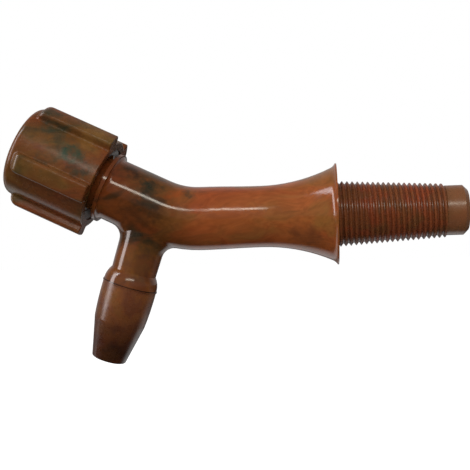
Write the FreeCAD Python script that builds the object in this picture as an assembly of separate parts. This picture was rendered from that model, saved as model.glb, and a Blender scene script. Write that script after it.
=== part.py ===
import FreeCAD, Part
import math
import os

# A screw-down spigot for a drinks dispenser, moulded in mottled phenolic.
# The body is one moulding: a taper-threaded shank with a plain nose, a trumpet flange that seals against
# the vessel, a barrel, a bend, a neck for the knob, and a spout. The knob turns on a coarse thread round
# the neck and draws a plunger, with a washer at its foot, off the seat inside the bend.
#
# The origin is the centre of the flange's seating face. +X runs through the shank into the vessel, and
# +Z is up, with the knob rising to the left and the spout hanging down. Millimetres and degrees.

os.makedirs("parts", exist_ok=True)
Vec = FreeCAD.Vector

# Threaded shank and its nose
shank_length = 37.2
shank_crest_at_flange = 11.7
shank_crest_at_tip = 9.45
shank_pitch = 1.814
shank_thread_depth = 0.95
shank_root_flat = 0.3
shank_crest_flat = 0.16
nose_radius = 8.75
nose_length = 7.9
nose_chamfer = 1.6

# Flange and barrel
flange_radius = 18.0
lip_thickness = 0.5
lip_sweep = 1.5
lip_curve = 3.0
face_recess_radius = 12.4
face_recess_depth = 0.4
flare_length = 27.0
flare_curve = 60.0
waist_radius = 11.0
barrel_length = 57.1
chip_radius = 3.2
chip_depth = 1.6
chip_tilt = 40.0

# Bend and neck
neck_angle = 26.09
bend_radius = 35.0
neck_radius = 11.4
collar_radius = 13.0
collar_at = 27.3
collar_thickness = 1.6
collar_sweep = 1.3
collar_round = 0.35
neck_thread_length = 20.6
neck_mouth_chamfer = 0.8

# Spout
spout_at = 10.4
spout_lean = 18.54
spout_root_radius = 8.6
spout_waist_radius = 8.2
spout_waist_at = 24.3
spout_ring_at = 29.5
spout_ring_radius = 10.1
spout_ring_width = 0.5
nozzle_radius = 9.88
nozzle_break_at = 43.2
nozzle_break_radius = 9.35
nozzle_belly_curve = 110.0
spout_length = 57.8
spout_tip_radius = 6.4
spout_tip_round = 0.9
spout_root_fillet = 4.8

# Waterways
inlet_radius = 5.25
inlet_end_short = 1.0
outlet_radius = 4.4
throat_radius = 4.0
throat_end = 20.0
mouth_chamfer = 0.5
chamber_radius = 7.0
seat_at = 4.5
seat_hole_radius = 4.0
seat_lip_radius = 5.2
seat_lip_height = 0.6
seat_hole_reach = 2.0

# Coarse thread between the neck and the knob
lift_lead = 3.0
lift_crest_radius = 11.4
lift_depth = 1.2
lift_root_width = 1.7
lift_crest_width = 0.9
lift_clearance = 0.15
lift_above_collar = 2.7
lift_below_mouth = 1.7

# Knob
knob_gap = 1.6
mouth_clearance = 0.5
knob_end_beyond_thread = 13.3
knob_core_radius = 16.75
knob_dome_rise = 1.1
knob_edge_round = 2.6
rib_count = 5
rib_height = 3.35
rib_span = 21.0
rib_first = 12.5
rib_end_short = 7.4
rib_round = 1.2
rib_root_round = 0.8
knob_rim_round = 0.4
skirt_radius = 14.0
skirt_depth = 4.5
knob_relief = 2.5
retainer_pocket_radius = 10.0
head_pocket_beyond_thread = 6.0
head_pocket_radius = 7.2
head_pocket_depth = 3.2

# Plunger and what it carries
washer_radius = 6.0
washer_thickness = 3.0
cup_wall = 0.5
cup_depth = 1.2
cup_floor = 1.8
loose_fit = 0.05
stem_radius = 3.6
piston_at = 19.5
piston_length = 17.0
piston_clearance = 0.1
seal_clearance = 0.05
seal_section = 1.95
seal_groove_width = 2.4
seal_groove_inset = 2.3
upper_stem_radius = 4.5
upper_stem_clearance = 0.08
head_radius = 6.8
head_play = 0.1
retainer_thickness = 2.4
retainer_fit = 0.03
screw_radius = 1.5
screw_length = 12.0
screw_head_radius = 2.8
screw_head_height = 1.5
screw_edge_round = 0.75
screw_slot_width = 0.8
screw_slot_depth = 0.8

# How far hidden overlaps reach so that neighbouring solids fuse, how far cutters run past what they cut,
# and how near a point must be to count as on an edge
overlap = 0.15
overrun = 1.0
near = 0.01


# Places and directions worked out from the sizes above

def heading(angle):
    """Unit vector in the XZ plane, turned up from -X."""
    return Vec(-math.cos(math.radians(angle)), 0, math.sin(math.radians(angle)))


def along(origin, direction, distance):
    return origin + direction * distance


into_vessel = Vec(1, 0, 0)
barrel_way = Vec(-1, 0, 0)
neck_way = heading(neck_angle)
spout_way = heading(spout_lean - 90)
flange_centre = Vec(0, 0, 0)
bend_corner = Vec(-barrel_length, 0, 0)
bend_tangent = bend_radius * math.tan(math.radians(neck_angle / 2))
spout_origin = along(bend_corner, neck_way, spout_at)
collar_top = collar_at + collar_thickness
neck_mouth = collar_top + neck_thread_length
lift_start = collar_top + lift_above_collar
lift_stop = neck_mouth - lift_below_mouth
knob_rim_at = collar_top + knob_gap
knob_thread_end = neck_mouth + mouth_clearance - knob_rim_at
knob_length = knob_thread_end + knob_end_beyond_thread
rib_radius = knob_core_radius + rib_height
head_pocket_at = knob_thread_end + head_pocket_beyond_thread
knob_origin = along(bend_corner, neck_way, knob_rim_at)
centre = Vec(0, 0, 0)
upright = Vec(0, 0, 1)
seal_groove_radius = chamber_radius - seal_clearance - seal_section - loose_fit
seal_groove_starts = (
    piston_at + seal_groove_inset,
    piston_at + piston_length - seal_groove_inset - seal_groove_width)


# Helpers

def placed(shape, origin, way):
    shape.Placement = FreeCAD.Placement(origin, FreeCAD.Rotation(Vec(0, 0, 1), way))
    return shape


def turned(outline, origin, way):
    """Solid of revolution. Each step is (radius, distance); a third number is the radius of the arc that
    leads there, positive where it bulges to the left of the way the outline goes."""
    points = [Vec(step[0], 0, step[1]) for step in outline]
    edges = []
    for i, step in enumerate(outline):
        start = points[i - 1]
        end = points[i]
        if len(step) == 3:
            chord = end - start
            rise = abs(step[2]) - math.sqrt(step[2] ** 2 - (chord.Length / 2) ** 2)
            left = Vec(-chord.z, 0, chord.x).normalize()
            middle = (start + end) * 0.5 + left * math.copysign(rise, step[2])
            edges.append(Part.Arc(start, middle, end).toShape())
        else:
            edges.append(Part.makeLine(start, end))
    face = Part.Face(Part.Wire(edges))
    solid = face.revolve(Vec(0, 0, 0), Vec(0, 0, 1), 360)
    return placed(solid, origin, way)


def bore(radius, start, stop, origin, way):
    """Cylinder along an axis, from one distance to another."""
    return placed(Part.makeCylinder(radius, stop - start), along(origin, way, start), way)


def helical(pitch, length, radius, taper, depth, foot, crest, start, origin, way):
    """Right-hand thread ridge of straight flanks, foot wide at the root radius and crest wide at its top.
    The flanks run on below the root, so that the ridge fuses with the core it stands on."""
    path = Part.makeLongHelix(pitch, length, radius, taper)
    spread = overlap * (foot - crest) / depth
    inner = radius - overlap
    outer = radius + depth
    half = (foot + spread) / 2
    corners = [Vec(inner, 0, -half), Vec(outer, 0, -crest / 2), Vec(outer, 0, crest / 2), Vec(inner, 0, half)]
    wire = Part.makePolygon(corners + corners[:1])
    ridge = Part.Wire(path).makePipeShell([wire], True, True)
    return placed(ridge, along(origin, way, start), way)


def tangent_arc(length, offset):
    """Radius of the arc that starts square to its end line and shifts by the offset over the length."""
    return (length ** 2 + offset ** 2) / (2 * offset)


def edges_where(shape, test, samples=7):
    """Edges of the shape whose sampled points all pass the test."""
    real = [edge for edge in shape.Edges if not edge.Degenerated]
    return [edge for edge in real if all(test(point) for point in edge.discretize(samples))]


def radius_about(point, origin, way):
    return point.distanceToLine(origin, way)


def distance_along(point, origin, way):
    return (point - origin).dot(way)


def save(shape, node):
    shape.exportStep(f"parts/{node}.step")


# Body moulding

def shank():
    root_at_flange = shank_crest_at_flange - shank_thread_depth
    root_at_tip = shank_crest_at_tip - shank_thread_depth
    tip = shank_length + nose_length
    core = turned([
        (0, -overrun),
        (root_at_flange, -overrun),
        (root_at_flange, 0),
        (root_at_tip, shank_length),
        (nose_radius, shank_length + nose_radius - root_at_tip),
        (nose_radius, tip - nose_chamfer),
        (nose_radius - nose_chamfer, tip),
        (0, tip),
    ], flange_centre, into_vessel)
    # the ridge is swept from the tip back into the flange; its crests on top stand whole pitches from the
    # face, and its end is a quarter turn round from there, at the back
    fall = (shank_crest_at_flange - shank_crest_at_tip) / shank_length
    last_crest = math.floor(shank_length / shank_pitch) * shank_pitch
    ridge_end = last_crest + shank_pitch * 3 / 4
    ridge = helical(
        shank_pitch, ridge_end + shank_pitch / 2, root_at_flange - fall * ridge_end,
        math.degrees(math.atan(fall)), shank_thread_depth, shank_pitch - shank_root_flat, shank_crest_flat,
        -ridge_end, flange_centre, barrel_way)
    ridge.rotate(flange_centre, barrel_way, 90)
    # just past the cone the ridge is cut off square, so that the nose stays plain
    past_cone = bore(shank_crest_at_flange, shank_length + overlap, tip, flange_centre, into_vessel)
    return core.fuse(ridge.cut(past_cone))


def barrel():
    """Flange, trumpet flare and barrel, measured back from the flange's face."""
    lip_foot_at = lip_thickness + lip_sweep
    flare_drop = math.sqrt(flare_curve ** 2 - (flare_length - lip_foot_at) ** 2)
    lip_foot_radius = waist_radius + flare_curve - flare_drop
    bend_start = barrel_length - bend_tangent
    swell_half = (bend_start - flare_length) / 2
    swell_curve = tangent_arc(swell_half, (neck_radius - waist_radius) / 2)
    return turned([
        (0, face_recess_depth),
        (face_recess_radius, face_recess_depth),
        (face_recess_radius, 0),
        (flange_radius, 0),
        (flange_radius, lip_thickness),
        (lip_foot_radius, lip_foot_at, lip_curve),
        (waist_radius, flare_length, flare_curve),
        ((waist_radius + neck_radius) / 2, flare_length + swell_half, swell_curve),
        (neck_radius, bend_start, -swell_curve),
        (0, bend_start),
    ], flange_centre, barrel_way)


def bend():
    centre = Vec(bend_tangent - barrel_length, 0, bend_radius)
    disc = Part.Face(Part.Wire(Part.makeCircle(neck_radius, Vec(centre.x, 0, 0), barrel_way)))
    return disc.revolve(centre, Vec(0, 1, 0), neck_angle)


def neck():
    thread_root = lift_crest_radius - lift_depth
    return turned([
        (0, bend_tangent),
        (neck_radius, bend_tangent),
        (neck_radius, collar_at - collar_sweep),
        (neck_radius + collar_sweep, collar_at, collar_sweep),
        (collar_radius, collar_at),
        (collar_radius, collar_top - collar_round),
        (collar_radius - collar_round, collar_top),
        (thread_root, collar_top),
        (thread_root, neck_mouth - neck_mouth_chamfer),
        (thread_root - neck_mouth_chamfer, neck_mouth),
        (0, neck_mouth),
    ], bend_corner, neck_way)


def spout():
    ring_top = spout_ring_at - spout_ring_width / 2
    ring_foot = spout_ring_at + spout_ring_width / 2
    flare = tangent_arc(ring_top - spout_waist_at, nozzle_radius - spout_waist_radius)
    return turned([
        (0, overrun),
        (spout_root_radius, overrun),
        (spout_waist_radius, spout_waist_at),
        (nozzle_radius, ring_top, -flare),
        (spout_ring_radius, ring_top),
        (spout_ring_radius, ring_foot),
        (nozzle_radius, ring_foot),
        (nozzle_break_radius, nozzle_break_at, -nozzle_belly_curve),
        (spout_tip_radius, spout_length - spout_tip_round),
        (spout_tip_radius - spout_tip_round, spout_length, -spout_tip_round),
        (0, spout_length),
    ], spout_origin, spout_way)


def on_spout_root(point):
    """True on the line where the spout's tube leaves the bend and neck."""
    distance = distance_along(point, spout_origin, spout_way)
    radius = radius_about(point, spout_origin, spout_way)
    return 2 * overrun < distance < spout_waist_at - spout_root_fillet and radius < spout_root_radius + near


def waterways():
    nose_tip = shank_length + nose_length
    inlet = turned([
        (0, inlet_end_short - barrel_length),
        (inlet_radius, inlet_end_short - barrel_length),
        (inlet_radius, nose_tip - mouth_chamfer),
        (inlet_radius + mouth_chamfer * 2, nose_tip + mouth_chamfer),
        (0, nose_tip + mouth_chamfer),
    ], flange_centre, into_vessel)
    chamber = turned([
        (0, -seat_hole_reach),
        (seat_hole_radius, -seat_hole_reach),
        (seat_hole_radius, seat_at),
        (seat_lip_radius, seat_at),
        (seat_lip_radius, seat_at - seat_lip_height),
        (chamber_radius, seat_at - seat_lip_height),
        (chamber_radius, neck_mouth - mouth_chamfer),
        (chamber_radius + mouth_chamfer * 2, neck_mouth + mouth_chamfer),
        (0, neck_mouth + mouth_chamfer),
    ], bend_corner, neck_way)
    outlet = turned([
        (0, 0),
        (throat_radius, 0),
        (throat_radius, throat_end),
        (outlet_radius, throat_end + outlet_radius - throat_radius),
        (outlet_radius, spout_length + overrun),
        (0, spout_length + overrun),
    ], spout_origin, spout_way)
    return inlet.fuse([chamber, outlet])


def rim_chip():
    """Bite broken out of the flange's lip at the bottom, on the side of its face."""
    way = heading(-90 - chip_tilt)
    middle = Vec(0, 0, -flange_radius) + way * (chip_radius - chip_depth)
    return Part.makeSphere(chip_radius, middle)


def lift_thread(start, stop, clearance):
    """Ridge of the coarse thread round the neck; with a clearance it is the groove for it in the knob."""
    return helical(
        lift_lead, stop - start, lift_crest_radius - lift_depth + clearance, 0, lift_depth,
        lift_root_width + 2 * clearance, lift_crest_width + 2 * clearance, start, bend_corner, neck_way)


def tap_body():
    moulding = barrel().fuse([bend(), neck(), spout()]).removeSplitter()
    root_line = edges_where(moulding, on_spout_root)
    moulding = moulding.makeFillet(spout_root_fillet, root_line)
    ridge = lift_thread(lift_start, lift_stop, 0)
    return moulding.fuse([shank(), ridge]).cut([waterways(), rim_chip()])


# Knob, built about Z from its open rim and then set on the neck

def rib():
    """One grip rib about Z, rounded along its crown and sloped down to the domed end."""
    slope = rib_radius - knob_core_radius
    root = knob_core_radius - overrun
    rib_end_at = knob_length - rib_end_short
    tip = rib_end_at + slope
    band = turned([
        (root, 0),
        (rib_radius, 0),
        (rib_radius, rib_end_at),
        (knob_core_radius, tip, -slope),
        (root, tip),
    ], centre, upright)
    half = math.radians(rib_span / 2)
    reach = rib_radius + overrun
    corner = Vec(reach * math.cos(half), reach * math.sin(half), 0)
    other = Vec(corner.x, -corner.y, 0)
    sector = Part.Face(Part.makePolygon([centre, other, corner, centre])).extrude(Vec(0, 0, tip))
    blade = band.common(sector)

    def on_crown_edge(point):
        side = abs(math.atan2(point.y, point.x))
        return abs(side - half) * reach < near and math.hypot(point.x, point.y) > knob_core_radius - near

    crown = [edge for edge in edges_where(blade, on_crown_edge) if edge.CenterOfMass.z > near]
    return blade.makeFillet(rib_round, crown)


def knob_outside():
    dome_radius = tangent_arc(knob_core_radius, knob_dome_rise)
    ball = Part.makeSphere(dome_radius)
    # turned so that neither its poles nor its seam are on the dome
    ball.rotate(centre, Vec(0, 1, 0), 90)
    ball.translate(Vec(0, 0, knob_length - dome_radius))
    core = Part.makeCylinder(knob_core_radius, knob_length).common(ball)
    shoulder = knob_length - knob_dome_rise
    core = core.makeFillet(knob_edge_round, edges_where(core, lambda point: abs(point.z - shoulder) < near))
    ribs = [rib() for _ in range(rib_count)]
    for i, blade in enumerate(ribs):
        blade.rotate(centre, upright, i * 360 / rib_count - 90 - rib_first)
    # the core's seam is turned under the first rib
    core.rotate(centre, upright, -90 - rib_first)
    ribbed = core.fuse(ribs).removeSplitter()

    def on_core(point):
        return abs(math.hypot(point.x, point.y) - knob_core_radius) < near

    roots = [edge for edge in edges_where(ribbed, on_core) if edge.BoundBox.XLength < near]
    ribbed = ribbed.makeFillet(rib_root_round, roots)
    rim = edges_where(ribbed, lambda point: abs(point.z) < near)
    return ribbed.makeFillet(knob_rim_round, rim)


def knob_inside():
    minor = lift_crest_radius - lift_depth + lift_clearance
    relief = lift_crest_radius + 2 * lift_clearance
    relief_end = knob_thread_end + knob_relief
    lead_in = skirt_radius - minor
    return turned([
        (0, -overrun),
        (skirt_radius, -overrun),
        (skirt_radius, skirt_depth - lead_in),
        (minor, skirt_depth),
        (minor, knob_thread_end),
        (relief, knob_thread_end),
        (relief, relief_end),
        (retainer_pocket_radius, relief_end),
        (retainer_pocket_radius, head_pocket_at),
        (head_pocket_radius, head_pocket_at),
        (head_pocket_radius, head_pocket_at + head_pocket_depth),
        (0, head_pocket_at + head_pocket_depth),
    ], knob_origin, neck_way)


def knob():
    outside = placed(knob_outside(), knob_origin, neck_way)
    groove_stop = knob_rim_at + knob_thread_end + knob_relief / 2
    groove = lift_thread(lift_start, groove_stop, lift_clearance)
    return outside.cut(knob_inside()).cut(groove)


# Plunger, measured along the neck from the bend's corner

def plunger():
    cup_at = seat_at + washer_thickness
    cup_inner = washer_radius + loose_fit
    piston_radius = chamber_radius - piston_clearance
    piston_end = piston_at + piston_length
    head_at = knob_rim_at + head_pocket_at + head_play
    head_end = knob_rim_at + head_pocket_at + head_pocket_depth - head_play
    blank = turned([
        (0, cup_at),
        (cup_inner, cup_at),
        (cup_inner, cup_at - cup_depth),
        (cup_inner + cup_wall, cup_at - cup_depth),
        (cup_inner + cup_wall, cup_at + cup_floor),
        (stem_radius, cup_at + cup_floor),
        (stem_radius, piston_at),
        (piston_radius, piston_at),
        (piston_radius, piston_end),
        (upper_stem_radius, piston_end),
        (upper_stem_radius, head_at),
        (head_radius, head_at),
        (head_radius, head_end),
        (0, head_end),
    ], bend_corner, neck_way)
    grooves = [
        bore(chamber_radius, start, start + seal_groove_width, bend_corner, neck_way).cut(
            bore(seal_groove_radius, start, start + seal_groove_width, bend_corner, neck_way))
        for start in seal_groove_starts]
    screw_hole_end = seat_at + screw_length + screw_radius
    screw_hole = bore(screw_radius + loose_fit, cup_at - overrun, screw_hole_end, bend_corner, neck_way)
    return blank.cut(grooves + [screw_hole])


def seal_ring(groove_start):
    section = seal_section / 2
    middle = along(bend_corner, neck_way, groove_start + seal_groove_width / 2)
    return placed(Part.makeTorus(chamber_radius - seal_clearance - section, section), middle, neck_way)


def valve_washer():
    stop = seat_at + washer_thickness
    disc = bore(washer_radius, seat_at, stop, bend_corner, neck_way)
    return disc.cut(bore(screw_radius + loose_fit, seat_at - overrun, stop + overrun, bend_corner, neck_way))


def washer_screw():
    face = seat_at - screw_head_height
    blank = turned([
        (0, face),
        (screw_head_radius - screw_edge_round, face),
        (screw_head_radius, face + screw_edge_round, -screw_edge_round),
        (screw_head_radius, seat_at),
        (screw_radius, seat_at),
        (screw_radius, seat_at + screw_length),
        (0, seat_at + screw_length),
    ], bend_corner, neck_way)
    reach = screw_head_radius + overrun
    slot = Part.makeBox(
        screw_slot_width, 2 * reach, screw_slot_depth + overrun, Vec(-screw_slot_width / 2, -reach, -overrun))
    return blank.cut(placed(slot, along(bend_corner, neck_way, face), neck_way))


def plunger_retainer():
    """Horseshoe clip under the plunger's head: its slot lets it slip on to the stem from the side."""
    stop = knob_rim_at + head_pocket_at
    start = stop - retainer_thickness
    hole = upper_stem_radius + upper_stem_clearance
    outer = retainer_pocket_radius - retainer_fit
    ring = bore(outer, start, stop, bend_corner, neck_way)
    slot = Part.makeBox(
        outer + overrun, 2 * hole, retainer_thickness + 2 * overrun, Vec(0, -hole, -overrun))
    slot = placed(slot, along(bend_corner, neck_way, start), neck_way)
    return ring.cut([bore(hole, start - overrun, stop + overrun, bend_corner, neck_way), slot])


save(tap_body(), "tap_body")
save(knob(), "knob")
save(plunger(), "plunger")
save(plunger_retainer(), "plunger_retainer")
save(valve_washer(), "valve_washer")
save(washer_screw(), "washer_screw")
save(seal_ring(seal_groove_starts[0]), "seal_ring_lower")
save(seal_ring(seal_groove_starts[1]), "seal_ring_upper")
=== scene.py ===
# %% [markdown]
# # A drinks dispenser spigot in mottled phenolic
#
# The solids of this tap come ready made, in metres, with the origin at the centre of the flange's face.
# Every form that shows is one of them, so no shape is added here. What Blender adds is how they look: a
# glossy thermoset plastic with brown, olive and dark green swirls, a rubber washer and seals, a brass
# screw and clip, and the light in which such a glossy thing can be read at all.

# %% Load the solids
import math

import bpy
from mathutils import Matrix, Vector

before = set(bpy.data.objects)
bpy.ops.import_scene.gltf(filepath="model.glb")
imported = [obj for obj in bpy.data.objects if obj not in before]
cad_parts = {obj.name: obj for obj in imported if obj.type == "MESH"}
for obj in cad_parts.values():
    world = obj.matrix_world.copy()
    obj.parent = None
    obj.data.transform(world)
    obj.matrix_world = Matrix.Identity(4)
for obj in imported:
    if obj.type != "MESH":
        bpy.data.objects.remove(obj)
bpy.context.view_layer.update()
scene = bpy.context.scene
bpy.ops.object.select_all(action="DESELECT")
for name, node in sorted(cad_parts.items()):
    print(name, "has", len(node.data.polygons), "faces and", len(node.data.materials), "material slot(s)")

# %% [markdown]
# ## Where the parts of the tap are
#
# Every finish below follows the object's own space, so that it stays on the piece when the piece moves. A
# few places are needed by name for that: the corner of the bend, the way the neck points, and where the
# spout starts and points.

# %% Places on the tap
NECK_ANGLE = math.radians(26.09)
SPOUT_LEAN = math.radians(18.54)
SPOUT_ALONG_NECK = 0.0104
bend_corner = Vector((-0.0571, 0, 0))
neck_way = Vector((-math.cos(NECK_ANGLE), 0, math.sin(NECK_ANGLE)))
spout_way = Vector((-math.sin(SPOUT_LEAN), 0, -math.cos(SPOUT_LEAN)))
spout_start = bend_corner + neck_way * SPOUT_ALONG_NECK
tap_middle = Vector((-0.03682, 0, -0.00632))
print("the spout starts at", [round(v * 1000, 1) for v in spout_start], "mm")

# %% [markdown]
# ## The camera
#
# The photograph was taken from the side and a little above, with a short telephoto view and a slight roll.
# A camera can be aimed with a constraint, but then its roll has to be worked out on top of that. Here its
# three axes are written out and become the columns of its matrix. It is made first, because the lights are
# placed by what they mirror in the gloss towards it.

# %% Set up the camera
AZIMUTH = math.radians(5.37)
ELEVATION = math.radians(1.5)
ROLL = math.radians(1.95)
DISTANCE = 0.306
SENSOR_WIDTH = 36
FOCAL_LENGTH = 65.15

back = Vector((
    math.sin(AZIMUTH) * math.cos(ELEVATION),
    -math.cos(AZIMUTH) * math.cos(ELEVATION),
    math.sin(ELEVATION)))
level = Vector((math.cos(AZIMUTH), math.sin(AZIMUTH), 0))
upward = back.cross(level)
camera_right = level * math.cos(ROLL) - upward * math.sin(ROLL)
camera_up = level * math.sin(ROLL) + upward * math.cos(ROLL)


def placed(place, right, up, towards):
    """The matrix of a thing at a place, from its own three axes."""
    return Matrix.Translation(place) @ Matrix((right, up, towards)).transposed().to_4x4()


camera_data = bpy.data.cameras.new("photo_camera")
camera_data.sensor_width = SENSOR_WIDTH
camera_data.lens = FOCAL_LENGTH
camera = bpy.data.objects.new("photo_camera", camera_data)
camera.matrix_world = placed(tap_middle + back * DISTANCE, camera_right, camera_up, back)
scene.collection.objects.link(camera)
scene.camera = camera
scene.view_settings.view_transform = "Standard"
print("camera at", [round(v, 4) for v in camera.matrix_world.translation])

# %% [markdown]
# ## Node helpers
#
# A material is a small machine of nodes. It can be wired by hand in the shader editor, but one with so many
# steps is easier to read and to change as a list of calls. Each helper below adds a node, feeds its sockets
# with numbers or with other nodes' outputs, and returns its output for the next step.

# %% Helpers for numbers and places
def feed(tree, socket, value):
    """A link where the value is another node's output, and a constant otherwise."""
    if isinstance(value, bpy.types.NodeSocket):
        tree.links.new(value, socket)
    else:
        socket.default_value = value


def math_node(tree, operation, first, second=0.0):
    node = tree.nodes.new("ShaderNodeMath")
    node.operation = operation
    feed(tree, node.inputs[0], first)
    feed(tree, node.inputs[1], second)
    return node.outputs[0]


def plus(tree, first, second):
    return math_node(tree, "ADD", first, second)


def minus(tree, first, second):
    return math_node(tree, "SUBTRACT", first, second)


def times(tree, first, second):
    return math_node(tree, "MULTIPLY", first, second)


def vector_node(tree, operation, first, second, output="Vector"):
    node = tree.nodes.new("ShaderNodeVectorMath")
    node.operation = operation
    feed(tree, node.inputs[0], first)
    feed(tree, node.inputs["Scale" if operation == "SCALE" else 1], second)
    return node.outputs[output]


def along(tree, place, axis):
    """How far a place is along X, Y or Z."""
    parts = tree.nodes.new("ShaderNodeSeparateXYZ")
    feed(tree, parts.inputs[0], place)
    return parts.outputs[axis]


def ease(tree, value, low, high, to_low=0.0, to_high=1.0):
    """Smooth rise from to_low to to_high while the value goes from low to high."""
    node = tree.nodes.new("ShaderNodeMapRange")
    node.interpolation_type = "SMOOTHSTEP"
    feed(tree, node.inputs["Value"], value)
    for name, number in (("From Min", low), ("From Max", high), ("To Min", to_low), ("To Max", to_high)):
        feed(tree, node.inputs[name], number)
    return node.outputs["Result"]


def fade(tree, value, low, high, share=1.0):
    """Smooth fall from a share to nothing while the value goes from low to high."""
    return ease(tree, value, low, high, share, 0.0)


# %% Helpers for patterns and colours
def noise(tree, place, scale, detail=3.0, roughness=0.5, distortion=0.0, output="Fac"):
    node = tree.nodes.new("ShaderNodeTexNoise")
    feed(tree, node.inputs["Vector"], place)
    for name, value in (
            ("Scale", scale), ("Detail", detail), ("Roughness", roughness), ("Distortion", distortion)):
        feed(tree, node.inputs[name], value)
    return node.outputs[output]


def stretched(tree, place, turn, sizes, shift=(0, 0, 0)):
    """Object space turned, moved and stretched, so that a pattern runs along a piece."""
    node = tree.nodes.new("ShaderNodeMapping")
    node.vector_type = "POINT"
    feed(tree, node.inputs["Vector"], place)
    node.inputs["Location"].default_value = shift
    node.inputs["Rotation"].default_value = turn
    node.inputs["Scale"].default_value = sizes
    return node.outputs["Vector"]


def srgb(red, green, blue):
    """A colour given as 0 to 255, as a picture shows it, in the linear values that a shader wants."""
    linear = []
    for value in (red, green, blue):
        value /= 255
        linear.append(value / 12.92 if value <= 0.04045 else ((value + 0.055) / 1.055) ** 2.4)
    return (*linear, 1)


def tint(tree, value):
    """One number as a grey colour."""
    node = tree.nodes.new("ShaderNodeCombineColor")
    for channel in node.inputs:
        feed(tree, channel, value)
    return node.outputs["Color"]


def blend_colour(tree, share, first, second, way="MIX"):
    node = tree.nodes.new("ShaderNodeMix")
    node.data_type = "RGBA"
    node.blend_type = way
    feed(tree, node.inputs["Factor"], share)
    feed(tree, node.inputs["A"], first)
    feed(tree, node.inputs["B"], second)
    return node.outputs["Result"]


# %% Helpers for whole materials
def new_material(name):
    """A new node material, with its tree, its Principled shader and the piece's own space."""
    material = bpy.data.materials.new(name)
    material.use_nodes = True
    tree = material.node_tree
    shader = tree.nodes["Principled BSDF"]
    place = tree.nodes.new("ShaderNodeTexCoord").outputs["Object"]
    return material, tree, shader, place


def bump(tree, shader, height, distance, under=None):
    """Unevenness in the gloss only, too fine to be a shape; the distance is in metres."""
    node = tree.nodes.new("ShaderNodeBump")
    node.inputs["Strength"].default_value = 1.0
    node.inputs["Distance"].default_value = distance
    feed(tree, node.inputs["Height"], height)
    if under is not None:
        feed(tree, node.inputs["Normal"], under)
    feed(tree, shader.inputs["Normal"], node.outputs["Normal"])
    return node.outputs["Normal"]


def wear(node_name, material):
    """Puts one finish on a solid, in place of the plain one it came with."""
    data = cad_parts[node_name].data
    if data.materials:
        for slot in range(len(data.materials)):
            data.materials[slot] = material
    else:
        data.materials.append(material)
    print(node_name, "wears", material.name)


# %% [markdown]
# ## Mottled phenolic
#
# The makers pressed this plastic from powders of several browns. In the hot mould the powders flow a
# little before they set, so each colour is drawn out along the piece and curls round the bends. A painted
# picture could show that, but it would have to be fitted round each fillet and thread. Noise in the
# piece's own space needs no fitting, and runs through the solid as the real colour does. Two coloured
# noises push that space about, and whatever is drawn in it afterwards is curled.

# %% Space that flows
FLOW_STRETCH = (0.5, 1, 1)
SWIRLS = ((45, 0.024), (120, 0.007))


def pushed(tree, place, scale, reach, detail=2, roughness=0.5):
    """Space pushed about by coloured noise, by up to half the reach each way, in metres."""
    push = noise(tree, place, scale, detail, roughness, output="Color")
    push = vector_node(tree, "SUBTRACT", push, (0.5, 0.5, 0.5))
    return vector_node(tree, "ADD", place, vector_node(tree, "SCALE", push, reach))


def curled_space(tree, place, flow_turn, seed):
    """The piece's space turned to its flow, drawn out along it, and curled by one swirl after the other."""
    curled = stretched(tree, place, flow_turn, FLOW_STRETCH, (seed, seed * 0.7, seed * 0.4))
    for scale, reach in SWIRLS:
        curled = pushed(tree, curled, scale, reach)
    return curled


print("swirls push by up to", [reach / 2 * 1000 for _, reach in SWIRLS], "mm")

# %% [markdown]
# ### The powders
#
# Four powders are laid over each other in the curled space: the brown ground, flecks of rust, clouds of
# olive, and a nearly black green in thin veins and in broader patches. One noise for all of them would put
# every change of colour at the same edges, so each has its own, read from another place.

# %% Lay the powders over each other
CLOUDS_APART = (0.3, 0.1, 0.2)
PATCHES_APART = (0.1, 0.4, 0.7)
VEIN_STRETCH = (0.5, 1.4, 1.4)


def powder_mix(tree, curled, powders, darkness):
    """Colour of the mixed powders; darkness says how readily the dark one shows."""
    ground, rust, olive, dark = powders
    flecks = noise(tree, curled, scale=62, detail=4, roughness=0.55)
    colour = blend_colour(tree, ease(tree, flecks, 0.36, 0.66), ground, rust)
    clouds = noise(tree, vector_node(tree, "ADD", curled, CLOUDS_APART), scale=80, detail=3)
    colour = blend_colour(tree, times(tree, ease(tree, clouds, 0.45, 0.66), 0.8), colour, olive)
    veins = noise(tree, vector_node(tree, "MULTIPLY", curled, VEIN_STRETCH), scale=150, detail=2)
    veins = ease(tree, plus(tree, veins, darkness), 0.5, 0.76, to_high=0.5)
    colour = blend_colour(tree, veins, colour, dark)
    patches = noise(tree, vector_node(tree, "ADD", curled, PATCHES_APART), scale=90, detail=2)
    patches = ease(tree, plus(tree, patches, darkness), 0.54, 0.76, to_high=0.92)
    return blend_colour(tree, patches, colour, dark)


# %% [markdown]
# ### Patches at known places
#
# Noise gives swirls of the right kind, but no seed puts the large ones where the picture has them. So the
# largest are added by name, each a ball of colour round a place on the piece. The balls are measured in a
# space that noise has pushed about, which frays their edges until they look like swirls too.

# %% Add patches where the picture has them
FULL_WITHIN = 0.0002
GONE_BEYOND = 0.0014


def patched(tree, place, colour, blots):
    """Adds blots, each a middle and a radius in mm, a colour and its share. The two limits above say how
    many metres from the middle, for each mm of the radius, a blot is full and gone."""
    frayed = pushed(tree, place, scale=170, reach=0.016, detail=3, roughness=0.6)
    for middle, radius, blot_colour, share in blots:
        off = vector_node(tree, "DISTANCE", frayed, tuple(v / 1000 for v in middle), "Value")
        blot = fade(tree, off, radius * FULL_WITHIN, radius * GONE_BEYOND, share)
        colour = blend_colour(tree, blot, colour, blot_colour)
    return colour


# %% Build one phenolic finish
GRAIN_SHARE = 0.6
GLOSS_SPREAD = 0.07
MOULD_WAVES = 0.00005
FINE_SCUFFS = 0.000001


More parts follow.
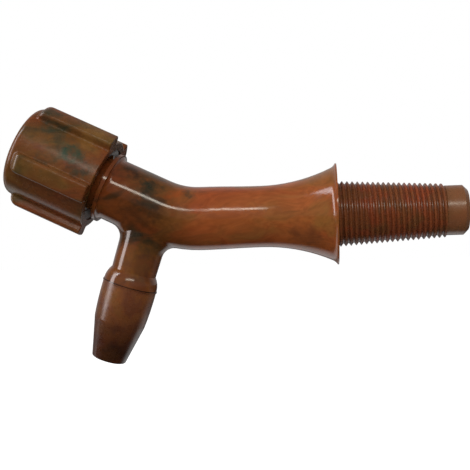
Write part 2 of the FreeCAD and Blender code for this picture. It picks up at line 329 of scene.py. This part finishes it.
def phenolic(name, powders, flow_turn, gloss, refraction, darkness, blots, zones=None, seed=0.0):
    """Mottled phenolic: its four powders, the turn that lays its flow along X, and the roughness of its
    gloss. Darkness is a number or a function of (tree, place). Zones may change the colour and the
    roughness by place, as a function of (tree, place, colour, roughness)."""
    material, tree, shader, place = new_material(name)
    curled = curled_space(tree, place, flow_turn, seed)
    amount = darkness(tree, place) if callable(darkness) else darkness
    colour = powder_mix(tree, curled, powders, amount)
    colour = patched(tree, place, colour, blots)
    grain = noise(tree, curled, scale=620, detail=3, roughness=0.6)
    grain = tint(tree, ease(tree, grain, 0.3, 0.7, to_low=0.78, to_high=1.2))
    colour = blend_colour(tree, GRAIN_SHARE, colour, grain, "MULTIPLY")

    handled = noise(tree, place, scale=420)
    roughness = ease(tree, handled, 0.35, 0.7, to_low=gloss, to_high=gloss + GLOSS_SPREAD)
    if zones:
        colour, roughness = zones(tree, place, colour, roughness)
    feed(tree, shader.inputs["Base Color"], colour)
    feed(tree, shader.inputs["Roughness"], roughness)
    shader.inputs["IOR"].default_value = refraction
    waves = bump(tree, shader, noise(tree, place, scale=110, detail=1), MOULD_WAVES)
    bump(tree, shader, noise(tree, place, scale=2600, detail=2), FINE_SCUFFS, under=waves)
    return material


# %% [markdown]
# ## The body's zones
#
# The body is one moulding, but not one colour: the barrel is the brightest orange brown, the bend and the
# neck are streaked with dark green, the spout is browner, and the shank is a darker red. Separate
# materials would meet at hard lines, and a moulding has none. So one material changes by place, with a
# smooth step for each border, and each zone below takes the colour and roughness and hands them on.

# %% Where the body is streaked
DOWN = (0, 0, -1)
BARREL_START = (-0.060, -0.046)
SPOUT_DEPTH = (0.014, 0.026)
WANDER = 0.02


def body_darkness(tree, place):
    """Least on the barrel, plenty on the bend, the neck and the top of the spout, a little less below."""
    wander = times(tree, minus(tree, noise(tree, place, scale=60, detail=2), 0.5), WANDER)
    x = plus(tree, along(tree, place, "X"), wander)
    on_barrel = ease(tree, x, *BARREL_START, to_high=-0.09)
    below = vector_node(tree, "DOT_PRODUCT", place, DOWN, "Value")
    return plus(tree, on_barrel, ease(tree, below, *SPOUT_DEPTH, to_high=-0.04))


# %% [markdown]
# ### The shank
#
# Years of being screwed in and out took the gloss off the thread. Its roots are darkened with painted
# shade, which could be painted by hand, turn by turn. Here it follows from the radius instead: the roots
# lie on a cone, so what is nearest to that cone is darkest, and the plain nose past the thread gets none of
# this shade.

# %% Wear, and painted shade in the thread roots
ROOT_RADIUS = 0.01075
ROOT_TAPER = 0.0605
ROOT_HEIGHT = 0.0006
SHANK_EDGE = (-0.0002, 0.0006)
NOSE_EDGE = (0.0368, 0.0376)
ROOTS_END = (0.0366, 0.0374)
SHANK_DULLNESS = 0.14
WORN_BROWN = srgb(106, 64, 38)
WORN_RED = srgb(126, 60, 36)
NOSE_BROWN = srgb(112, 75, 46)
# Painted shade colour for the thread roots.
ROOT_SHADE = srgb(52, 27, 18)


def shank_zone(tree, place, colour, roughness):
    x = along(tree, place, "X")
    shank = ease(tree, x, *SHANK_EDGE)
    red = noise(tree, vector_node(tree, "ADD", place, (0.5, 0.2, 0)), scale=120, detail=2)
    worn = blend_colour(tree, ease(tree, red, 0.46, 0.6), WORN_BROWN, WORN_RED)
    colour = blend_colour(tree, shank, colour, blend_colour(tree, 0.7, colour, worn))
    colour = blend_colour(tree, times(tree, ease(tree, x, *NOSE_EDGE), 0.7), colour, NOSE_BROWN)
    roughness = plus(tree, roughness, times(tree, shank, SHANK_DULLNESS))

    from_axis = vector_node(tree, "MULTIPLY", place, (0, 1, 1))
    radius = vector_node(tree, "LENGTH", from_axis, (0, 0, 0), "Value")
    height = plus(tree, minus(tree, radius, ROOT_RADIUS), times(tree, x, ROOT_TAPER))
    # Painted shade: darkest nearest the cone of the thread roots, none past the thread.
    root_shade = times(tree, fade(tree, height, 0.0, ROOT_HEIGHT, 0.34), fade(tree, x, *ROOTS_END))
    colour = blend_colour(tree, times(tree, root_shade, shank), colour, ROOT_SHADE)
    return colour, roughness


# %% [markdown]
# ### The spout
#
# The spout has a golden mottle of its own. Its nozzle is darkened towards the mouth with painted shade, and
# is duller, where a hose and wet hands rubbed it. A fine dark line of painted shade lies against the mould
# ring half way down. All of it is measured down the spout's own axis, because the spout leans and no axis
# of the world follows it.

# %% Colour, dullness and painted shade on the spout
RING_TOP = 0.02925
RING_SHADE_REACH = (0.00008, 0.0003)
SPOUT_ROOT = (0.010, 0.018)
BARREL_SIDE = (-0.052, -0.050)
NOZZLE_RUN = (0.030, 0.054)
DULL_FROM = (0.0285, 0.0300)
SPOUT_DULLNESS = 0.16
SPOUT_BROWN = srgb(98, 60, 40)
SPOUT_GOLD = srgb(124, 78, 38)
NOZZLE_SHADE = srgb(126, 104, 98)
# Painted shade colour for the line at the mould ring.
RING_SHADE = srgb(34, 18, 12)


def spout_zone(tree, place, colour, roughness):
    from_spout = vector_node(tree, "SUBTRACT", place, tuple(spout_start))
    down = vector_node(tree, "DOT_PRODUCT", from_spout, tuple(spout_way), "Value")
    clear_of_barrel = fade(tree, along(tree, place, "X"), *BARREL_SIDE)
    spout = times(tree, ease(tree, down, *SPOUT_ROOT), clear_of_barrel)
    gold = noise(tree, vector_node(tree, "ADD", place, (0.2, 0.6, 0)), scale=150, detail=3, roughness=0.6)
    browned = blend_colour(tree, ease(tree, gold, 0.4, 0.62), SPOUT_BROWN, SPOUT_GOLD)
    colour = blend_colour(tree, times(tree, spout, 0.5), colour, browned)
    # Painted shade: the nozzle is darkened more towards its mouth.
    nozzle_shade = times(tree, ease(tree, down, *NOZZLE_RUN, to_high=0.85), spout)
    colour = blend_colour(tree, nozzle_shade, colour, NOZZLE_SHADE, "MULTIPLY")
    dull = times(tree, ease(tree, down, *DULL_FROM), spout)
    roughness = plus(tree, roughness, times(tree, dull, SPOUT_DULLNESS))
    # Painted shade: a thin dark line just at the top of the mould ring.
    off_ring = math_node(tree, "ABSOLUTE", minus(tree, down, RING_TOP))
    colour = blend_colour(tree, fade(tree, off_ring, *RING_SHADE_REACH, 0.85), colour, RING_SHADE)
    return colour, roughness


# %% [markdown]
# ### The chip in the flange
#
# A bite is missing from the flange's lower rim, and its broken face never had the mould's gloss. The solid
# has that face as part of a ball, so whatever lies just on the ball is broken face, and no face has to be
# picked by hand.

# %% A rough face in the chip, and all zones together
CHIP_MIDDLE = (0.00103, 0, -0.01923)
CHIP_RADIUS = 0.0032
FACE_SKIN = (0.00004, 0.00012)
BROKEN_ROUGHNESS = 0.5
BEND_START = (-0.062, -0.046)
BROKEN_FACE = srgb(150, 104, 74)
BEND_SHADE = srgb(180, 176, 168)


def chip_zone(tree, place, colour, roughness):
    off_middle = vector_node(tree, "DISTANCE", place, CHIP_MIDDLE, "Value")
    off_face = math_node(tree, "ABSOLUTE", minus(tree, off_middle, CHIP_RADIUS))
    broken = fade(tree, off_face, *FACE_SKIN)
    colour = blend_colour(tree, broken, colour, BROKEN_FACE)
    return colour, plus(tree, roughness, times(tree, broken, BROKEN_ROUGHNESS))


def body_zones(tree, place, colour, roughness):
    """The bend is a little darker than the barrel; then each zone adds its own."""
    bend = fade(tree, along(tree, place, "X"), *BEND_START)
    colour = blend_colour(tree, times(tree, bend, 0.8), colour, BEND_SHADE, "MULTIPLY")
    for zone in (shank_zone, spout_zone, chip_zone):
        colour, roughness = zone(tree, place, colour, roughness)
    return colour, roughness


# %% [markdown]
# ### The two mouldings
#
# The body and the knob seem to come from different batches of powder: the knob is darker, more olive and
# less glossy, and its swirls run along its own axis. Both wear the same kind of finish with other values,
# because two recipes would soon differ in more than the powders. The places of the patches were read
# from the picture, and are points on the solids.

# %% Patches on the body and the knob
GREEN = srgb(42, 50, 38)
UMBER = srgb(62, 42, 28)
ORANGE = srgb(152, 76, 32)
GOLD = srgb(116, 84, 40)
TEAL = srgb(28, 58, 46)
RED = srgb(92, 42, 24)
body_blots = [
    ((-67.0, -8.0, 15.0), 9.0, GOLD, 0.5),
    ((-66.1, -9.3, 11.8), 4.4, GREEN, 0.9),
    ((-71.4, -7.0, 17.0), 4.0, UMBER, 0.75),
    ((-64.1, -11.2, 5.7), 4.2, UMBER, 0.85),
    ((-67.5, -11.2, 6.5), 3.6, GREEN, 0.6),
    ((-56.3, -9.0, 7.9), 4.6, ORANGE, 0.85),
    ((-51.8, -8.5, 7.8), 2.6, GREEN, 0.6),
    ((-70.4, -10.7, 2.1), 6.0, UMBER, 0.55),
    ((-71.8, -8.3, -10.3), 4.2, GREEN, 0.7),
    ((-66.4, -6.7, -10.9), 5.0, GREEN, 0.75),
    ((-71.4, -7.9, -16.7), 4.4, GOLD, 0.6),
    ((-79.4, -9.7, -29.1), 4.0, GOLD, 0.6),
    ((-9.9, -11.4, -7.2), 5.6, UMBER, 0.45),
    ((-3.7, -15.5, -2.5), 5.0, GOLD, 0.5),
]
knob_blots = [
    ((-95.0, -16.0, 24.0), 12.0, GOLD, 0.3),
    ((-98.0, -15.0, 5.0), 15.0, RED, 0.4),
    ((-84.6, -12.5, 29.5), 6.0, GOLD, 0.55),
    ((-101.8, -16.4, 25.7), 3.4, RED, 0.55),
    ((-90.0, -16.4, 20.0), 3.6, RED, 0.6),
    ((-92.2, -15.5, 24.2), 4.2, TEAL, 0.9),
    ((-99.0, -11.6, 35.4), 4.6, GREEN, 0.75),
    ((-95.5, -14.0, 29.5), 4.0, GREEN, 0.6),
    ((-88.2, -16.6, 17.6), 3.2, GREEN, 0.7),
    ((-98.5, -16.6, 22.0), 3.6, GREEN, 0.6),
]
print(len(body_blots), "patches on the body and", len(knob_blots), "on the knob")

# %% Finish the mouldings
BODY_POWDERS = (srgb(138, 75, 37), srgb(132, 64, 31), srgb(118, 77, 38), srgb(48, 48, 34))
KNOB_POWDERS = (srgb(94, 58, 27), srgb(106, 54, 27), srgb(88, 67, 30), srgb(38, 50, 36))
wear("tap_body", phenolic(
    "phenolic_body", BODY_POWDERS, flow_turn=(0, NECK_ANGLE * 0.3, 0), gloss=0.1, refraction=1.57,
    darkness=body_darkness, blots=body_blots, zones=body_zones, seed=0.031))
wear("knob", phenolic(
    "phenolic_knob", KNOB_POWDERS, flow_turn=(0, NECK_ANGLE, 0), gloss=0.22, refraction=1.42,
    darkness=-0.01, blots=knob_blots, seed=0.173))

# %% [markdown]
# ## The small parts inside
#
# They hardly show, but each is finished as what it is: a dark brown moulded plunger, black rubber for the
# washer and the two seals, and dull brass that has gone brown in use for the screw and the horseshoe clip.
# One flat colour each would do at this size, but a close view or another pose would then show it as blank
# plastic. So each has a little cloudiness and its own gloss.

# %% Plain mouldings, rubber and brass
def moulding(name, colour, streak):
    """Plain moulded plastic with faint streaks."""
    material, tree, shader, place = new_material(name)
    flow = noise(tree, place, scale=260, detail=4, roughness=0.6, distortion=0.8)
    feed(tree, shader.inputs["Base Color"], blend_colour(tree, ease(tree, flow, 0.35, 0.7), colour, streak))
    rubbed = noise(tree, place, scale=900, detail=2)
    feed(tree, shader.inputs["Roughness"], ease(tree, rubbed, 0.3, 0.7, to_low=0.22, to_high=0.38))
    bump(tree, shader, noise(tree, place, scale=1500, detail=3), 0.00001)
    return material


def rubber(name):
    """Black rubber with a pale bloom."""
    material, tree, shader, place = new_material(name)
    bloom = ease(tree, noise(tree, place, scale=420, detail=4, roughness=0.6), 0.45, 0.75)
    colour = blend_colour(tree, bloom, srgb(26, 25, 24), srgb(52, 49, 46))
    feed(tree, shader.inputs["Base Color"], colour)
    rubbed = noise(tree, place, scale=1200, detail=2)
    feed(tree, shader.inputs["Roughness"], ease(tree, rubbed, 0.3, 0.7, to_low=0.5, to_high=0.7))
    bump(tree, shader, noise(tree, place, scale=3200, detail=3), 0.00002)
    return material


def brass(name):
    """Brass with brown tarnish, and marks from turning round the neck's axis."""
    material, tree, shader, place = new_material(name)
    tarnish = noise(tree, place, scale=700, detail=5, roughness=0.65, distortion=0.5)
    tarnish = ease(tree, tarnish, 0.42, 0.68)
    colour = blend_colour(tree, tarnish, srgb(206, 164, 86), srgb(122, 84, 44))
    feed(tree, shader.inputs["Base Color"], colour)
    feed(tree, shader.inputs["Roughness"], plus(tree, times(tree, tarnish, 0.25), 0.22))
    shader.inputs["Metallic"].default_value = 1.0
    turning = stretched(tree, place, (0, NECK_ANGLE, 0), (9, 1, 1))
    bump(tree, shader, noise(tree, turning, scale=700, detail=2), 0.000008)
    return material


# %% Finish the small parts
wear("plunger", moulding("moulded_brown", srgb(52, 34, 24), srgb(70, 46, 30)))
black_rubber = rubber("black_rubber")
for name in ("valve_washer", "seal_ring_lower", "seal_ring_upper"):
    wear(name, black_rubber)
worn_brass = brass("worn_brass")
for name in ("washer_screw", "plunger_retainer"):
    wear(name, worn_brass)

# %% [markdown]
# ## The floor
#
# The picture shows the tap on plain white. White could come from more light, but that would wash the tap
# out. Here the floor glows white for the camera alone. In the gloss it shows only where it lies behind the
# tap, which gives the pale bands along the tap's edges. Its paint takes what little shadow reaches it.

# %% A pale floor well below the tap
FLOOR_LEVEL = -0.2
FLOOR_SIZE = 6
FLOOR_WHITE = 0.95
FLOOR_PAINT = 0.32
bpy.ops.mesh.primitive_plane_add(size=FLOOR_SIZE, location=(0, 0, FLOOR_LEVEL))
floor = bpy.context.active_object
floor.name = "floor"


def in_gloss(tree, rays):
    """1 where a ray was mirrored or bent on its way here, and 0 otherwise."""
    return math_node(tree, "MAXIMUM", rays.outputs["Is Glossy Ray"], rays.outputs["Is Transmission Ray"])


def floor_finish():
    """A pale floor that is white to the camera, and pale in gloss only in a strip behind the tap."""
    material = bpy.data.materials.new("pale_floor")
    material.use_nodes = True
    tree = material.node_tree
    tree.nodes.clear()
    rays = tree.nodes.new("ShaderNodeLightPath")
    place = tree.nodes.new("ShaderNodeTexCoord").outputs["Object"]
    x, y = along(tree, place, "X"), along(tree, place, "Y")
    strip = times(tree, ease(tree, y, 0.06, 0.14), ease(tree, y, 0.28, 0.42, to_low=0.85, to_high=0.18))
    strip = times(tree, strip, ease(tree, x, 0.08, 0.25, to_low=1.0, to_high=0.12))
    mirrored = in_gloss(tree, rays)
    to_camera = times(tree, rays.outputs["Is Camera Ray"], FLOOR_WHITE)
    light = tree.nodes.new("ShaderNodeEmission")
    feed(tree, light.inputs["Strength"], plus(tree, to_camera, times(tree, mirrored, strip)))
    paint = tree.nodes.new("ShaderNodeBsdfDiffuse")
    shade = times(tree, minus(tree, 1.0, mirrored), FLOOR_PAINT)
    feed(tree, paint.inputs["Color"], tint(tree, shade))
    both = tree.nodes.new("ShaderNodeAddShader")
    feed(tree, both.inputs[0], paint.outputs[0])
    feed(tree, both.inputs[1], light.outputs[0])
    feed(tree, tree.nodes.new("ShaderNodeOutputMaterial").inputs["Surface"], both.outputs[0])
    return material


floor.data.materials.append(floor_finish())
print("floor at", FLOOR_LEVEL, "m, in paint of", FLOOR_PAINT)

# %% [markdown]
# ## The surroundings
#
# The tap needs three things from what is round it: white for the camera, a soft grey light that is stronger
# from above, and something to mirror. One plain colour can't give all three. The kind of ray that arrives
# tells them apart, so each kind gets its own strength, and what stands behind the camera stays dim.

# %% The surroundings
def surroundings():
    """White to the camera, a soft grey light from above on the tap, and in gloss paler behind the tap."""
    world = bpy.data.worlds.new("white_surround")
    scene.world = world
    world.use_nodes = True
    tree = world.node_tree
    sky = tree.nodes["Background"]
    rays = tree.nodes.new("ShaderNodeLightPath")
    way = tree.nodes.new("ShaderNodeTexCoord").outputs["Generated"]
    behind = ease(tree, along(tree, way, "Y"), 0.2, 0.8, to_low=0.1, to_high=0.4)
    plain = ease(tree, along(tree, way, "Z"), -0.8, 0.8, to_low=0.04, to_high=0.48)
    mirrored = in_gloss(tree, rays)
    unmirrored = minus(tree, 1.0, mirrored)
    strength = plus(tree, times(tree, mirrored, behind), times(tree, unmirrored, plain))
    strength = math_node(tree, "MAXIMUM", strength, rays.outputs["Is Camera Ray"])
    sky.inputs["Color"].default_value = (1, 1, 1, 1)
    feed(tree, sky.inputs["Strength"], strength)
    print("the world is", world.name)


surroundings()

# %% [markdown]
# ## The lamps
#
# A glossy brown thing shows mostly what it mirrors. The picture has a thin bright line along the neck and
# the barrel, from a narrow lamp above the camera, and a broader one down the spout and the knob, from
# windows on the left: one tall and warm, one small, high and bluish. These three are area lamps that the
# gloss shows. Two more, in front and behind, only light the tap evenly: soft lamps that large would cover
# the gloss with white, so it doesn't mirror them.

# %% Lamps
def lamp(name, place, aim, width, height, radiance, colour, mirrored=True):
    """Area lamp that faces a point. Radiance is how bright it looks, so its power follows from its size."""
    data = bpy.data.lights.new(name, "AREA")
    data.shape = "RECTANGLE"
    data.size = width
    data.size_y = height
    data.energy = radiance * math.pi * width * height
    data.color = colour
    thing = bpy.data.objects.new(name, data)
    away = (place - aim).normalized()
    side = camera_up.cross(away).normalized()
    thing.matrix_world = placed(place, side, away.cross(side), away)
    thing.visible_camera = False
    thing.visible_glossy = mirrored
    scene.collection.objects.link(thing)
    print(name, "gives", round(data.energy, 2), "W")


def seen_from_tap(right_angle, up_angle, distance):
    """A place at so many degrees right of and above the camera, seen from the tap's middle."""
    across, rise = math.radians(right_angle), math.radians(up_angle)
    flat_way = back * math.cos(rise) * math.cos(across) + camera_right * math.cos(rise) * math.sin(across)
    return tap_middle + (flat_way + camera_up * math.sin(rise)) * distance


# %% Lamps that the gloss shows
STRIP_RIGHT = 0.052
STRIP_UP = 0.345
STRIP_BACK = 0.609
strip_aim = tap_middle + camera_right * STRIP_RIGHT
strip_place = strip_aim + camera_up * STRIP_UP + back * STRIP_BACK
tall_place = seen_from_tap(right_angle=-78, up_angle=22, distance=0.7)
pale_place = seen_from_tap(right_angle=-71, up_angle=47, distance=0.7)
lamp("thin_strip", strip_place, strip_aim, width=0.415, height=0.08, radiance=8, colour=(1, 0.94, 0.8))
lamp("tall_window", tall_place, tap_middle, width=0.22, height=0.7, radiance=6, colour=(1, 0.93, 0.93))
lamp("pale_window", pale_place, tap_middle, width=0.16, height=0.2, radiance=5, colour=(0.84, 0.92, 1))

# %% Lamps that only light the tap
key_place = seen_from_tap(right_angle=4, up_angle=24, distance=0.9)
fill_place = seen_from_tap(right_angle=180, up_angle=22, distance=0.9)
lamp(
    "soft_key", key_place, tap_middle, width=0.7, height=0.5, radiance=2.95, colour=(1, 0.98, 0.95),
    mirrored=False)
lamp(
    "back_fill", fill_place, tap_middle, width=1.0, height=0.5, radiance=2.4, colour=(1, 0.99, 0.97),
    mirrored=False)
